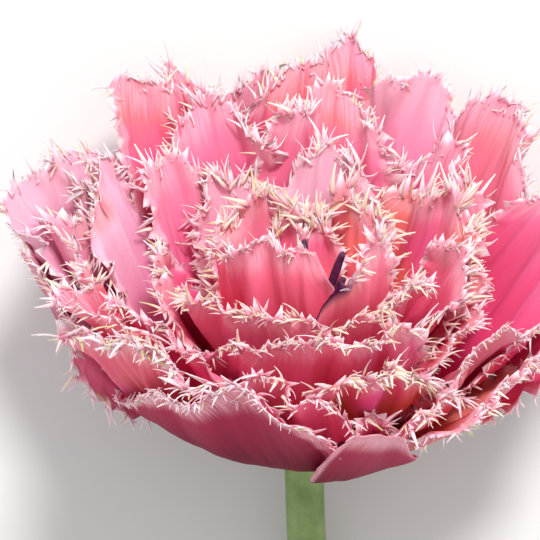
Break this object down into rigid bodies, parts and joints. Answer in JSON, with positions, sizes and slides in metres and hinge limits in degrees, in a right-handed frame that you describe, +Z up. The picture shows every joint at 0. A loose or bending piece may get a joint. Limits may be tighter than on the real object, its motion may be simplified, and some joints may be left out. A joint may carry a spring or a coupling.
{
  "type": "double fringed tulip",
  "caption": "Cut double tulip lying on its side: pink petals with fringed margins in nested whorls, dark stamens, a green pistil and a short green stem.",
  "frame": {"origin": "on the surface that the flower lies on, at the flat spot of the lowest outer petal, under the bloom", "axes": "+Z up; +Y the way that the bloom's mouth leans, so that its axis points along +Y and 35 degrees up; the stem runs to -Y"},
  "size_m": [0.1241, 0.1763, 0.0999],
  "materials": {
    "petal_outer": "satin, dusky rose outside",
    "petal_second": "satin",
    "petal_third": "satin",
    "petal_fourth": "satin",
    "petal_fifth": "satin",
    "petal_inner": "satin",
    "stamen": "matt, dark purple",
    "pistil": "satin, pale green",
    "stem": "satin, green with a light bloom"
  },
  "bodies": {
    "root": {"petal_outer_1": "petal_outer", "petal_outer_2": "petal_outer", "petal_outer_3": "petal_outer", "petal_outer_4": "petal_outer", "petal_outer_5": "petal_outer", "petal_outer_6": "petal_outer", "petal_outer_7": "petal_outer", "petal_outer_8": "petal_outer", "petal_second_1": "petal_second", "petal_second_2": "petal_second", "petal_second_3": "petal_second", "petal_second_4": "petal_second", "petal_second_5": "petal_second", "petal_second_6": "petal_second", "petal_second_7": "petal_second", "petal_second_8": "petal_second", "petal_second_9": "petal_second", "petal_second_10": "petal_second", "petal_third_1": "petal_third", "petal_third_2": "petal_third", "petal_third_3": "petal_third", "petal_third_4": "petal_third", "petal_third_5": "petal_third", "petal_third_6": "petal_third", "petal_third_7": "petal_third", "petal_third_8": "petal_third", "petal_fourth_1": "petal_fourth", "petal_fourth_2": "petal_fourth", "petal_fourth_3": "petal_fourth", "petal_fourth_4": "petal_fourth", "petal_fourth_5": "petal_fourth", "petal_fourth_6": "petal_fourth", "petal_fifth_1": "petal_fifth", "petal_fifth_2": "petal_fifth", "petal_fifth_3": "petal_fifth", "petal_fifth_4": "petal_fifth", "petal_inner_1": "petal_inner", "petal_inner_2": "petal_inner", "petal_inner_3": "petal_inner", "stamen_1": "stamen", "stamen_2": "stamen", "stamen_3": "stamen", "stamen_4": "stamen", "stamen_5": "stamen", "stamen_6": "stamen", "pistil": "pistil", "receptacle": "stem", "stem": "stem"}
  },
  "joints": []
}
